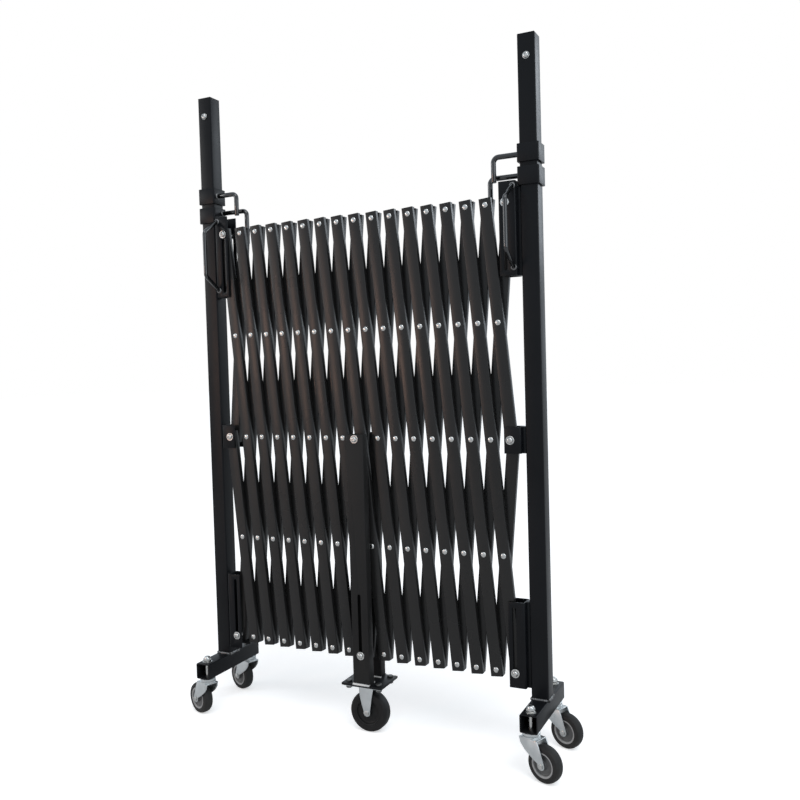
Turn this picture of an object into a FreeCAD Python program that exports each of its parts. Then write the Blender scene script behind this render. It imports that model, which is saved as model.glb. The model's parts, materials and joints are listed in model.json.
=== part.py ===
# Expandable lattice barrier on casters, drawn part by part, in millimetres.
# X runs along the barrier, Y from its front to its back, Z up from the floor.
import FreeCAD, Part

import math
import os
import re

# Driving dimensions of the barrier. Lengths in millimetres, angles in degrees.
SIZES = {
    # Scissor lattice
    "pivot_pitch": 264.5,
    "fold_angle": 5.2,
    "middle_row_height": 726.0,
    "lattice_y": -10.0,
    "slat_width": 28.0,
    "slat_thickness": 14.0,
    "slat_overhang": 15.0,
    "layer_gap": 0.6,
    "rivet_head_radius": 6.2,
    "rivet_head_height": 2.2,
    "rivet_radius": 3.6,
    "pivot_clearance": 0.06,
    # Bolts that hold the lattice to the posts and to the leg
    "bolt_radius": 4.0,
    "bolt_clearance": 0.35,
    "washer_radius": 10.0,
    "washer_thickness": 1.6,
    "bolt_head_radius": 6.8,
    "bolt_head_height": 4.6,
    "nut_radius": 7.5,
    "nut_height": 6.5,
    "spacer_radius": 7.5,
    "seat_gap": 0.3,
    "slide_travel": 146.0,
    "slide_margin": 2.5,
    # End posts
    "post_width": 40.0,
    "post_wall": 2.0,
    "post_top": 1615.0,
    "post_from_bolt": 53.0,
    "cap_thickness": 3.0,
    "top_bolt_drop": 49.0,
    # Foot beams
    "beam_width": 40.0,
    "beam_wall": 2.5,
    "beam_length": 220.0,
    "beam_bottom": 102.0,
    # Slotted channel brackets
    "bracket_depth": 40.0,
    "bracket_wall": 3.0,
    "bracket_inner_reach": 14.0,
    "bracket_outer_reach": 25.0,
    "bracket_far_margin": 16.0,
    "upper_bracket_rise": 46.0,
    "lower_bracket_drop": 33.0,
    "middle_bracket_height": 60.0,
    "spacer_strip_depth": 18.0,
    # Pull handles
    "handle_rod_radius": 5.0,
    "handle_from_bolt": 18.0,
    "handle_standoff": 52.0,
    "handle_height": 189.0,
    "handle_slope": 34.0,
    "handle_bend": 12.0,
    "handle_drop": 6.0,
    # Link hooks on square sleeves
    "sleeve_width": 50.0,
    "sleeve_height": 40.0,
    "sleeve_clearance": 0.35,
    "sleeve_gap": 10.0,
    "sleeve_rise": 35.0,
    "hook_rod_radius": 6.0,
    "hook_bend": 12.0,
    "upper_hook_rise": 20.0,
    "upper_hook_reach": 84.0,
    "upper_hook_drop": 56.0,
    "upper_hook_y": -8.0,
    "lower_hook_rise": 28.0,
    "lower_hook_reach": 100.0,
    "lower_hook_drop": 86.0,
    "lower_hook_y": 13.0,
    # Middle leg
    "leg_width": 45.0,
    "leg_tube_depth": 25.0,
    "leg_wall": 2.0,
    "leg_gap": 36.0,
    "leg_rise": 11.0,
    "plate_length": 110.0,
    "plate_depth": 90.0,
    "plate_thickness": 6.0,
    "plate_bolt_inset": 14.0,
    # Middle caster, fixed in line with the barrier
    "middle_wheel_radius": 50.0,
    "middle_wheel_width": 32.0,
    "middle_caster_height": 122.0,
    # End casters, swivelling on threaded stems
    "wheel_radius": 40.0,
    "wheel_width": 25.0,
    "caster_trail": 36.0,
    "caster_turn": 20.0,
    "caster_inset": 20.0,
    "fork_sheet": 2.5,
    "fork_side_gap": 2.5,
    "fork_crown_drop": 12.0,
    "fork_crown_reach": 21.0,
    "end_fork_reach": 26.0,
    "bearing_radius": 20.0,
    "stem_radius": 6.0,
    "stem_head_radius": 9.0,
    "stem_head_height": 3.5,
    "stem_nut_radius": 11.0,
    "stem_nut_height": 8.0,
    "axle_radius": 4.0,
    "axle_head_radius": 7.0,
    "axle_head_height": 3.0,
}

# The lattice: pitches between its two end bolts, and pivot rows counted from the top.
PITCHES = 16
ROWS = 5
MIDDLE_ROW = 2
# Small round pieces are drawn with few flat sides.
RIVET_SIDES = 6
BOLT_SIDES = 8
WASHER_SIDES = 8
BEND_STEPS = 3
SIDES = {"left": -1, "right": 1}
ENDS = {"front": -1, "rear": 1}

ALIAS = re.compile(r"\b(" + "|".join(SIZES) + r")\b")
ALONG_Y = FreeCAD.Rotation(FreeCAD.Vector(1, 0, 0), -90)
ALONG_X = FreeCAD.Rotation(FreeCAD.Vector(0, 1, 0), 90)
UPRIGHT = FreeCAD.Rotation()

doc = FreeCAD.newDocument("ExpandableBarrier")
nodes = []


def make_sheet():
    """Write the driving dimensions into a spreadsheet with one alias each."""
    sheet = doc.addObject("Spreadsheet::Sheet", "dims")
    for number, (name, value) in enumerate(SIZES.items(), start=1):
        sheet.set(f"A{number}", name)
        sheet.set(f"B{number}", str(value))
        sheet.setAlias(f"B{number}", name)
    doc.recompute()


def formula(text):
    """Turn dimension names in a formula into references to the spreadsheet."""
    return ALIAS.sub(r"dims.\1", str(text))


def bind(obj, **formulas):
    """Bind properties of an object to formulas. Two underscores stand for a dot."""
    for name, text in formulas.items():
        obj.setExpression(name.replace("__", "."), formula(text))
    return obj


def put(obj, x, y, z, rotation=UPRIGHT):
    """Place an object by formulas, with a fixed rotation."""
    obj.Placement = FreeCAD.Placement(FreeCAD.Vector(), rotation)
    return bind(obj, Placement__Base__x=x, Placement__Base__y=y, Placement__Base__z=z)


def add(kind, label):
    """Add a document object."""
    return doc.addObject(kind, label)


def box(label, x, y, z):
    """A box from three (low, high) pairs of formulas."""
    obj = add("Part::Box", label)
    bind(obj, Length=f"({x[1]})-({x[0]})", Width=f"({y[1]})-({y[0]})", Height=f"({z[1]})-({z[0]})")
    return put(obj, x[0], y[0], z[0])


def rod(label, radius, start, length, rotation=UPRIGHT):
    """A round rod from a start point, along the rotated Z axis."""
    obj = add("Part::Cylinder", label)
    bind(obj, Radius=radius, Height=length)
    return put(obj, *start, rotation)


def prism(label, sides, radius, start, length, rotation=UPRIGHT):
    """A regular prism whose corners lie on a circle of the given radius."""
    obj = add("Part::Prism", label)
    obj.Polygon = sides
    bind(obj, Circumradius=radius, Height=length)
    return put(obj, *start, rotation)


def fuse(label, shapes):
    """One solid from several that meet."""
    obj = add("Part::MultiFuse", label)
    obj.Shapes = shapes
    obj.Refine = True
    return obj


def cut(label, base, tools):
    """A base shape with the tools taken out."""
    obj = add("Part::Cut", label)
    obj.Base = base
    obj.Tool = tools[0] if len(tools) == 1 else fuse(label + "_tools", tools)
    return obj


def group(label, shapes):
    """Several separate solids in one node."""
    obj = add("Part::Compound", label)
    obj.Links = shapes
    return obj


def node(obj, label):
    """Name an object as a finished sub-part."""
    obj.Label = label
    nodes.append(obj)
    return obj


def square_tube(label, x, y, width, depth, wall, z):
    """An upright rectangular tube about the axis x, y, open at both ends."""
    outer = box(label + "_outer", (f"{x}-{width}/2", f"{x}+{width}/2"),
                (f"{y}-{depth}/2", f"{y}+{depth}/2"), z)
    inner = box(label + "_inner", (f"{x}-{width}/2+{wall}", f"{x}+{width}/2-{wall}"),
                (f"{y}-{depth}/2+{wall}", f"{y}+{depth}/2-{wall}"), (f"{z[0]}-1", f"{z[1]}+1"))
    return cut(label, outer, [inner])


def hole(label, radius, start, length, rotation=UPRIGHT, sides=BOLT_SIDES):
    """A hole tool with flat sides that clear a turning pin of the given radius."""
    return prism(label, sides, f"({radius}+pivot_clearance)/cos(180/{sides})", start, length, rotation)


def slot(label, x, low, high, y):
    """A round-ended slot through y for a sliding bolt, between two bolt centres."""
    radius = "(bolt_radius+bolt_clearance)"
    depth = f"({y[1]})-({y[0]})"
    return fuse(label, [
        prism(label + "_low", BOLT_SIDES, radius, (x, y[0], low), depth, ALONG_Y),
        prism(label + "_high", BOLT_SIDES, radius, (x, y[0], high), depth, ALONG_Y),
        box(label + "_mid", (f"{x}-{radius}", f"{x}+{radius}"), y, (low, high)),
    ])


def column_x(index):
    """X of a lattice column, counted from the left end bolt."""
    return f"({index - PITCHES / 2}*2*pivot_pitch*sin(fold_angle))"


def row_z(row):
    """Z of a pivot row, counted from the top."""
    return f"(middle_row_height+{MIDDLE_ROW - row}*pivot_pitch*cos(fold_angle))"


# Faces of the lattice and of what it passes through, along Y.
FRONT_FACE = "(lattice_y-layer_gap/2-slat_thickness)"
REAR_FACE = "(lattice_y+layer_gap/2+slat_thickness)"
BRACKET_FRONT = "(lattice_y-bracket_depth/2)"
BRACKET_BACK = "(lattice_y+bracket_depth/2)"
LEG_FRONT = "(lattice_y-leg_gap/2-leg_tube_depth)"
LEG_BACK = "(lattice_y+leg_gap/2+leg_tube_depth)"


def lattice_bolt(label, x, z, outside, inside, layers):
    """A bolt through two walls and the slats between them, with washers, a nut and spacers.

    outside and inside are the walls' (front, back) faces; layers are the slats' (front, back) faces.
    """
    front = f"({outside[0]}-seat_gap)"
    back = f"({outside[1]}+seat_gap)"
    head = f"({front}-washer_thickness)"
    front_spacer = f"({inside[0]}+seat_gap)"
    back_spacer = f"({inside[1]}-seat_gap)"
    return fuse(label, [
        prism(label + "_head", BOLT_SIDES, "bolt_head_radius", (x, f"{head}-bolt_head_height", z),
              "bolt_head_height", ALONG_Y),
        prism(label + "_washer", WASHER_SIDES, "washer_radius", (x, head, z), "washer_thickness", ALONG_Y),
        prism(label + "_shank", BOLT_SIDES, "bolt_radius", (x, head, z), f"{back}-{head}", ALONG_Y),
        prism(label + "_front_spacer", RIVET_SIDES, "spacer_radius", (x, front_spacer, z),
              f"{layers[0]}-{front_spacer}", ALONG_Y),
        prism(label + "_back_spacer", RIVET_SIDES, "spacer_radius", (x, layers[1], z),
              f"{back_spacer}-{layers[1]}", ALONG_Y),
        prism(label + "_nut", 6, "nut_radius", (x, back, z), "nut_height", ALONG_Y),
    ])


BOLTED = {(0, 0), (0, MIDDLE_ROW), (0, ROWS - 1), (PITCHES / 2, MIDDLE_ROW), (PITCHES / 2, ROWS - 1),
          (PITCHES, 0), (PITCHES, MIDDLE_ROW), (PITCHES, ROWS - 1)}


def slat_rows(first_column, lean):
    """Pivot rows of a slat whose top pivot would lie at first_column, and the column of each."""
    columns = {row: first_column + lean * row / 2 for row in range(ROWS)}
    return {row: column for row, column in columns.items() if 0 <= column <= PITCHES}


def slide_bolt(label, layer, pivots):
    """The bolt that a slat carries in the slots of a post bracket or of the leg, if it has one."""
    for row, column in pivots.items():
        on_leg = column == PITCHES / 2 and row == ROWS - 1 and layer == "front"
        on_post = column in (0, PITCHES) and row in (0, ROWS - 1)
        if not (on_leg or on_post):
            continue
        if on_leg:
            outside = (LEG_FRONT, LEG_BACK)
            inside = (f"({LEG_FRONT}+leg_tube_depth)", f"({LEG_BACK}-leg_tube_depth)")
            layers = (FRONT_FACE, REAR_FACE)
        else:
            outside = (BRACKET_FRONT, BRACKET_BACK)
            inside = (f"({BRACKET_FRONT}+bracket_wall)", f"({BRACKET_BACK}-bracket_wall)")
            layers = (FRONT_FACE, f"({FRONT_FACE}+slat_thickness)")
            if layer == "rear":
                layers = (f"({REAR_FACE}-slat_thickness)", REAR_FACE)
        return lattice_bolt(label, column_x(column), row_z(row), outside, inside, layers)
    return None


def slat(layer, number):
    """One slat of the lattice: front slats carry the rivets, rear slats turn on them."""
    label = f"{layer}_slat_{number:02d}"
    lean = 1 if layer == "front" else -1
    first = number - 1 if layer == "front" else number + 1
    pivots = slat_rows(first, lean)
    heights = {row: f"({MIDDLE_ROW - row}*pivot_pitch)" for row in pivots}
    low = f"{heights[max(pivots)]}-slat_overhang"
    high = f"{heights[min(pivots)]}+slat_overhang"
    thickness = ("-slat_thickness", "0") if layer == "front" else ("0", "slat_thickness")
    bar = box(label + "_bar", ("-slat_width/2", "slat_width/2"), thickness, (low, high))
    rivets = []
    holes = []
    for row, column in pivots.items():
        name = f"{label}_{row}"
        z = heights[row]
        if (column, row) in BOLTED:
            holes.append(hole(name + "_hole", "bolt_radius", ("0", f"{thickness[0]}-1", z),
                              "slat_thickness+2", ALONG_Y))
        elif layer == "front":
            rivets.append(prism(name + "_head", RIVET_SIDES, "rivet_head_radius",
                                ("0", "-slat_thickness-rivet_head_height", z), "rivet_head_height", ALONG_Y))
            rivets.append(prism(name + "_shank", RIVET_SIDES, "rivet_radius", ("0", "0", z),
                                "layer_gap+slat_thickness", ALONG_Y))
        else:
            holes.append(hole(name + "_hole", "rivet_radius", ("0", "-1", z),
                              "slat_thickness+2", ALONG_Y, RIVET_SIDES))
    shape = fuse(label + "_riveted", [bar] + rivets) if rivets else bar
    if holes:
        shape = cut(label + "_bored", shape, holes)
    y = "lattice_y-layer_gap/2" if layer == "front" else "lattice_y+layer_gap/2"
    tilt = FreeCAD.Rotation(FreeCAD.Vector(0, -lean, 0), SIZES["fold_angle"])
    put(shape, column_x(first + lean), y, "middle_row_height", tilt)
    bind(shape, Placement__Rotation__Angle="fold_angle")
    bolt = slide_bolt(label + "_bolt", layer, pivots)
    node(group(label, [shape, bolt]) if bolt else shape, label)


def post(side, sign):
    """A square post tube, capped at the top, with its top bolt."""
    x = f"({column_x(PITCHES / 2 + sign * PITCHES / 2)}{sign:+d}*post_from_bolt)"
    label = side + "_post"
    tube = square_tube(label + "_tube", x, "0", "post_width", "post_width", "post_wall",
                       ("beam_bottom+beam_width", "post_top-cap_thickness"))
    cap = box(label + "_cap", (f"{x}-post_width/2", f"{x}+post_width/2"),
              ("-post_width/2", "post_width/2"), ("post_top-cap_thickness", "post_top"))
    height = "post_top-top_bolt_drop"
    screw = fuse(label + "_top_bolt", [
        prism(label + "_top_bolt_washer", WASHER_SIDES, "washer_radius*0.8",
              (x, "-post_width/2-washer_thickness", height), "washer_thickness", ALONG_Y),
        prism(label + "_top_bolt_head", BOLT_SIDES, "bolt_head_radius",
              (x, "-post_width/2-washer_thickness-bolt_head_height", height), "bolt_head_height", ALONG_Y),
    ])
    node(group(label, [fuse(label + "_capped", [tube, cap]), screw]), label)
    return x


def foot_beam(side, sign, x):
    """The foot beam under a post, a square tube along Y with open ends."""
    label = side + "_beam"
    z = ("beam_bottom", "beam_bottom+beam_width")
    outer = box(label + "_outer", (f"{x}-beam_width/2", f"{x}+beam_width/2"),
                ("-beam_length/2", "beam_length/2"), z)
    inner = box(label + "_inner", (f"{x}-beam_width/2+beam_wall", f"{x}+beam_width/2-beam_wall"),
                ("-beam_length/2-1", "beam_length/2+1"),
                ("beam_bottom+beam_wall", "beam_bottom+beam_width-beam_wall"))
    holes = [hole(f"{label}_{end}_hole", "stem_radius",
                  (x, f"{way}*(beam_length/2-caster_inset)", "beam_bottom-1"), "beam_width+2")
             for end, way in ENDS.items()]
    node(cut(label, outer, [inner] + holes), label)
    stems = []
    for end, way in ENDS.items():
        name = f"{side}_{end}_stem"
        y = f"{way}*(beam_length/2-caster_inset)"
        crown = "(beam_bottom-fork_crown_drop)"
        seat = f"({crown}-fork_sheet-seat_gap)"
        stems.append(fuse(name, [
            prism(name + "_head", WASHER_SIDES, "stem_head_radius", (x, y, f"{seat}-stem_head_height"),
                  "stem_head_height"),
            prism(name + "_shank", BOLT_SIDES, "stem_radius", (x, y, seat),
                  f"beam_bottom+beam_width+stem_nut_height+2-{seat}"),
            prism(name + "_nut", 6, "stem_nut_radius", (x, y, "beam_bottom+beam_width"), "stem_nut_height"),
        ]))
    label = side + "_caster_stems"
    node(group(label, stems), label)


def channel(label, sign, bolt_x, low, high, slots, strip_top):
    """A bracket folded to a channel, open to the lattice, with slots and a strip that meets the post."""
    inner = f"{bolt_x}{-sign:+d}*bracket_inner_reach"
    outer = f"{bolt_x}{sign:+d}*bracket_outer_reach"
    web = f"{outer}{-sign:+d}*bracket_wall"
    post_face = f"{bolt_x}{sign:+d}*(post_from_bolt-post_width/2)"
    span = (inner, outer) if sign > 0 else (outer, inner)
    hollow = (f"{inner}-1", web) if sign > 0 else (web, f"{inner}+1")
    reach = (outer, post_face) if sign > 0 else (post_face, outer)
    shell = box(label + "_outer", span, (BRACKET_FRONT, BRACKET_BACK), (low, high))
    inside = box(label + "_inner", hollow, (f"{BRACKET_FRONT}+bracket_wall", f"{BRACKET_BACK}-bracket_wall"),
                 (f"{low}-1", f"{high}+1"))
    folded = cut(label + "_folded", shell, [inside] + slots)
    strip = box(label + "_strip", reach, ("-spacer_strip_depth", "0"), (low, strip_top))
    return fuse(label, [folded, strip])


def end_brackets(side, sign):
    """The three brackets of a post and the bolt at the middle row."""
    column = PITCHES / 2 + sign * PITCHES / 2
    x = column_x(column)
    across = (f"{BRACKET_FRONT}-1", f"{BRACKET_BACK}+1")
    top = row_z(0)
    middle = row_z(MIDDLE_ROW)
    bottom = row_z(ROWS - 1)
    label = side + "_brackets"
    upper = (f"({top}-slide_travel-bracket_far_margin)", f"({top}+upper_bracket_rise)")
    lower = (f"({bottom}-lower_bracket_drop)", f"({bottom}+slide_travel+bracket_far_margin)")
    centre = (f"({middle}-middle_bracket_height/2)", f"({middle}+middle_bracket_height/2)")
    sleeve_rest = f"({top}+sleeve_rise-seat_gap)"
    bore = hole(label + "_bore", "bolt_radius", (x, across[0], middle),
                f"{across[1]}-({across[0]})", ALONG_Y)
    parts = [
        channel(label + "_upper", sign, x, *upper,
                [slot(label + "_upper_slot", x, f"{top}-slide_travel", f"{top}+slide_margin", across)],
                sleeve_rest),
        channel(label + "_middle", sign, x, *centre, [bore], centre[1]),
        channel(label + "_lower", sign, x, *lower,
                [slot(label + "_lower_slot", x, f"{bottom}-slide_margin", f"{bottom}+slide_travel", across)],
                lower[1]),
        lattice_bolt(label + "_pivot_bolt", x, middle, (BRACKET_FRONT, BRACKET_BACK),
                     (f"({BRACKET_FRONT}+bracket_wall)", f"({BRACKET_BACK}-bracket_wall)"),
                     (f"({FRONT_FACE}-seat_gap)", f"({REAR_FACE}+seat_gap)")),
    ]
    node(group(label, parts), label)


def bolt_x(sign):
    """X of an end bolt as a number, for rods that are swept along a computed line."""
    half_length = PITCHES * SIZES["pivot_pitch"] * math.sin(math.radians(SIZES["fold_angle"]))
    return sign * half_length


def top_row():
    """Z of the top pivot row as a number."""
    rise = MIDDLE_ROW * SIZES["pivot_pitch"] * math.cos(math.radians(SIZES["fold_angle"]))
    return SIZES["middle_row_height"] + rise


def bent_rod(label, corners, bend, radius):
    """A rod swept along straight runs, with each bend of one radius taken in a few short steps."""
    points = [corners[0]]
    for before, corner, after in zip(corners, corners[1:], corners[2:]):
        into = (corner - before).normalize()
        out = (after - corner).normalize()
        angle = into.getAngle(out)
        inward = (out - into).normalize()
        centre = corner + inward * (bend / math.cos(angle / 2))
        axis = into.cross(out)
        start = corner - into * (bend * math.tan(angle / 2)) - centre
        for step in range(BEND_STEPS + 1):
            turn = FreeCAD.Rotation(axis, math.degrees(angle) * step / BEND_STEPS)
            points.append(centre + turn.multVec(start))
    points.append(corners[-1])
    line = add("Part::Feature", label + "_line")
    line.Shape = Part.makePolygon(points)
    section = add("Part::RegularPolygon", label + "_section")
    section.Polygon = BOLT_SIDES
    bind(section, Circumradius=radius)
    along = FreeCAD.Rotation(FreeCAD.Vector(0, 0, 1), corners[1] - corners[0])
    section.Placement = FreeCAD.Placement(corners[0], along)
    sweep = add("Part::Sweep", label)
    sweep.Sections = [section]
    sweep.Spine = (line, [f"Edge{number}" for number in range(1, len(points))])
    sweep.Transition = "Right corner"
    sweep.Solid = True
    return sweep


def pull_handle(side, sign):
    """The bent rod handle that stands on the front of the upper bracket."""
    label = side + "_handle"
    x = bolt_x(sign) + sign * SIZES["handle_from_bolt"]
    root = SIZES["lattice_y"] - SIZES["bracket_depth"] / 2
    grip = root - SIZES["handle_standoff"]
    top = top_row() + SIZES["upper_bracket_rise"] - SIZES["handle_drop"] - SIZES["handle_rod_radius"]
    bottom = top - SIZES["handle_height"] + 2 * SIZES["handle_rod_radius"]
    slope = SIZES["handle_slope"]
    corners = [FreeCAD.Vector(x, root, top), FreeCAD.Vector(x, grip, top - slope),
               FreeCAD.Vector(x, grip, bottom + slope), FreeCAD.Vector(x, root, bottom)]
    depth = 2 * SIZES["handle_rod_radius"]
    rise = depth * slope / SIZES["handle_standoff"]
    corners[0] = corners[0] + FreeCAD.Vector(0, depth, rise)
    corners[-1] = corners[-1] + FreeCAD.Vector(0, depth, -rise)
    bar = bent_rod(label + "_rod", corners, SIZES["handle_bend"], "handle_rod_radius")
    behind = box(label + "_behind", (f"{x}-2*handle_rod_radius", f"{x}+2*handle_rod_radius"),
                 (BRACKET_FRONT, f"{BRACKET_FRONT}+4*handle_rod_radius"),
                 (f"{bottom}-4*handle_rod_radius", f"{top}+4*handle_rod_radius"))
    node(cut(label, bar, [behind]), label)


def link_hooks(side, sign):
    """Two square sleeves on a post, each with a bent hook that points to the lattice."""
    x = f"({column_x(PITCHES / 2 + sign * PITCHES / 2)}{sign:+d}*post_from_bolt)"
    axis = bolt_x(sign) + sign * SIZES["post_from_bolt"]
    lower = f"({row_z(0)}+sleeve_rise)"
    bottoms = {"lower": lower, "upper": f"({lower}+sleeve_height+sleeve_gap)"}
    heights = {"lower": top_row() + SIZES["sleeve_rise"]}
    heights["upper"] = heights["lower"] + SIZES["sleeve_height"] + SIZES["sleeve_gap"]
    hooks = []
    for level, bottom in bottoms.items():
        label = f"{side}_{level}_hook"
        wall = "(sleeve_width-post_width)/2-sleeve_clearance"
        sleeve = square_tube(label + "_sleeve", x, "0", "sleeve_width", "sleeve_width", f"({wall})",
                             (bottom, f"{bottom}+sleeve_height"))
        y = SIZES[level + "_hook_y"]
        root = axis - sign * (SIZES["sleeve_width"] / 2 - 1)
        tip = axis - sign * SIZES[level + "_hook_reach"]
        z = heights[level] + SIZES[level + "_hook_rise"]
        corners = [FreeCAD.Vector(root, y, z), FreeCAD.Vector(tip, y, z),
                   FreeCAD.Vector(tip, y, z - SIZES[level + "_hook_drop"])]
        bar = bent_rod(label + "_rod", corners, SIZES["hook_bend"], "hook_rod_radius")
        hooks.append(fuse(label, [sleeve, bar]))
    label = side + "_link_hooks"
    node(group(label, hooks), label)


def middle_leg():
    """The two tubes of the middle leg, one on each side of the lattice, and their caster plate."""
    bottom = "middle_caster_height+plate_thickness"
    middle = row_z(MIDDLE_ROW)
    low = row_z(ROWS - 1)
    tubes = []
    for end, way in ENDS.items():
        label = f"leg_{end}_tube"
        y = f"(lattice_y{way:+d}*(leg_gap/2+leg_tube_depth/2))"
        tube = square_tube(label + "_blank", "0", y, "leg_width", "leg_tube_depth", "leg_wall",
                           (f"({bottom})", f"({middle}+leg_rise)"))
        across = (f"{y}-leg_tube_depth", f"{y}+leg_tube_depth")
        bore = hole(label + "_bore", "bolt_radius", ("0", across[0], middle), "leg_tube_depth*2", ALONG_Y)
        track = slot(label + "_slot", "0", f"{low}-slide_margin", f"{low}+slide_travel", across)
        tubes.append(cut(label, tube, [bore, track]))
    node(group("middle_leg", tubes), "middle_leg")
    plate = box("plate_blank", ("-plate_length/2", "plate_length/2"),
                ("lattice_y-plate_depth/2", "lattice_y+plate_depth/2"), ("middle_caster_height", bottom))
    screws = []
    holes = []
    for count, (along, across) in enumerate([(-1, -1), (1, -1), (-1, 1), (1, 1)]):
        x = f"{along}*(plate_length/2-plate_bolt_inset)"
        y = f"lattice_y{across:+d}*(plate_depth/2-plate_bolt_inset)"
        base = "middle_caster_height-fork_sheet"
        holes.append(hole(f"plate_hole_{count}", "bolt_radius", (x, y, f"{base}-1"),
                          "plate_thickness+fork_sheet+2"))
        screws.append(fuse(f"plate_screw_{count}", [
            prism(f"plate_screw_{count}_shank", BOLT_SIDES, "bolt_radius", (x, y, f"{base}-nut_height"),
                  f"{bottom}-({base})+nut_height"),
            prism(f"plate_screw_{count}_head", 6, "nut_radius", (x, y, bottom), "bolt_head_height"),
            prism(f"plate_screw_{count}_nut", 6, "nut_radius", (x, y, f"{base}-nut_height"), "nut_height"),
        ]))
    node(cut("caster_plate", plate, holes), "caster_plate")
    pivot = lattice_bolt("leg_pivot_bolt", "0", middle, (LEG_FRONT, LEG_BACK),
                         (f"({LEG_FRONT}+leg_tube_depth)", f"({LEG_BACK}-leg_tube_depth)"),
                         (f"({FRONT_FACE}-seat_gap)", f"({REAR_FACE}+seat_gap)"))
    node(group("leg_bolts", [pivot] + screws), "leg_bolts")


def wheel(label, radius, width, centre, turn):
    """A caster wheel about its axle, with a bore for the axle bolt."""
    low = f"-{width}/2"
    tyre = rod(label + "_tyre", radius, ("0", low, "0"), width, ALONG_Y)
    bore = hole(label + "_bore", "axle_radius", ("0", f"{low}-1", "0"), f"{width}+2", ALONG_Y)
    shape = cut(label, tyre, [bore])
    put(shape, *centre, FreeCAD.Rotation(FreeCAD.Vector(0, 0, 1), turn))
    return node(shape, label)


def cheek(label, y, axle, crown, width):
    """One side of a fork: a plate that tapers from the crown down to the axle."""
    plate = add("Part::Wedge", label + "_plate")
    bind(plate, Xmin=f"{axle[0]}-axle_head_radius-2", Xmax=f"{axle[0]}+axle_head_radius+2",
         X2min=width[0], X2max=width[1], Ymin=axle[1], Ymax=crown,
         Zmin="0", Zmax="fork_sheet", Z2min="0", Z2max="fork_sheet")
    put(plate, "0", f"{y}+fork_sheet", "0", FreeCAD.Rotation(FreeCAD.Vector(1, 0, 0), 90))
    foot = prism(label + "_foot", WASHER_SIDES, "axle_head_radius+2", (axle[0], y, axle[1]),
                 "fork_sheet", ALONG_Y)
    return [plate, foot]


def fork(label, axle, crown, half_gap, reach, mounting, centre, turn):
    """A pressed fork: a crown, two tapering cheeks and the axle bolt between them.

    axle is its (x, z), crown the height of the crown's top, reach the crown's (low, high) x.
    mounting is the shape that joins the crown to what it hangs from, and the holes through both.
    """
    outer = f"({half_gap}+fork_sheet)"
    cap = box(label + "_crown", reach, (f"-{outer}", outer), (f"{crown}-fork_sheet", crown))
    sides = cheek(label + "_front", f"-{outer}", axle, crown, reach)
    sides += cheek(label + "_rear", half_gap, axle, crown, reach)
    bores = [hole(label + "_axle_bore", "axle_radius", (axle[0], f"-{outer}-1", axle[1]),
                  f"2*{outer}+2", ALONG_Y)] + mounting[1]
    frame = cut(label + "_frame", fuse(label + "_pressing", [cap, mounting[0]] + sides), bores)
    pin = fuse(label + "_axle", [
        prism(label + "_axle_pin", BOLT_SIDES, "axle_radius",
              (axle[0], f"-{outer}-axle_head_height", axle[1]),
              f"2*{outer}+2*axle_head_height", ALONG_Y),
        prism(label + "_axle_head", 6, "axle_head_radius", (axle[0], f"-{outer}-axle_head_height", axle[1]),
              "axle_head_height", ALONG_Y),
        prism(label + "_axle_nut", 6, "axle_head_radius", (axle[0], outer, axle[1]),
              "axle_head_height", ALONG_Y),
    ])
    shape = group(label, [frame, pin])
    put(shape, *centre, FreeCAD.Rotation(FreeCAD.Vector(0, 0, 1), turn))
    return node(shape, label)


def end_caster(side, sign, end, way, x):
    """A swivel caster under one end of a foot beam, trailing away from the lattice."""
    label = f"{side}_{end}"
    turn = -SIZES["caster_turn"] if sign > 0 else 180 - SIZES["caster_turn"]
    y = f"{way}*(beam_length/2-caster_inset)"
    half_gap = "(wheel_width/2+fork_side_gap)"
    crown = "(beam_bottom-fork_crown_drop)"
    axle = ("caster_trail", "wheel_radius")
    race = prism(label + "_race", WASHER_SIDES, "bearing_radius", ("0", "0", crown),
                 "fork_crown_drop-seat_gap")
    bore = hole(label + "_stem_bore", "stem_radius", ("0", "0", f"{crown}-fork_sheet-1"),
                "fork_crown_drop+fork_sheet+2")
    reach = ("-bearing_radius-1", "end_fork_reach")
    fork(label + "_fork", axle, crown, half_gap, reach, (race, [bore]), (x, y, "0"), turn)
    angle = math.radians(turn)
    centre = (f"{x}+caster_trail*{math.cos(angle)}", f"{y}+caster_trail*{math.sin(angle)}", "wheel_radius")
    wheel(label + "_wheel", "wheel_radius", "wheel_width", centre, turn)


def middle_caster():
    """The fixed caster under the middle leg, its wheel in line with the barrier."""
    half_gap = "(middle_wheel_width/2+fork_side_gap)"
    flange = box("middle_fork_flange", ("-plate_length/2+4", "plate_length/2-4"),
                 ("-plate_depth/2+4", "plate_depth/2-4"),
                 ("middle_caster_height-fork_sheet", "middle_caster_height"))
    holes = []
    for count, (along, across) in enumerate([(-1, -1), (1, -1), (-1, 1), (1, 1)]):
        holes.append(hole(f"middle_fork_hole_{count}", "bolt_radius",
                          (f"{along}*(plate_length/2-plate_bolt_inset)",
                           f"{across}*(plate_depth/2-plate_bolt_inset)",
                           "middle_caster_height-fork_sheet-1"), "fork_sheet+2"))
    fork("middle_fork", ("0", "middle_wheel_radius"), "middle_caster_height", half_gap,
         ("-fork_crown_reach", "fork_crown_reach"), (flange, holes), ("0", "lattice_y", "0"), 0)
    wheel("middle_wheel", "middle_wheel_radius", "middle_wheel_width",
          ("0", "lattice_y", "middle_wheel_radius"), 0)


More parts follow.
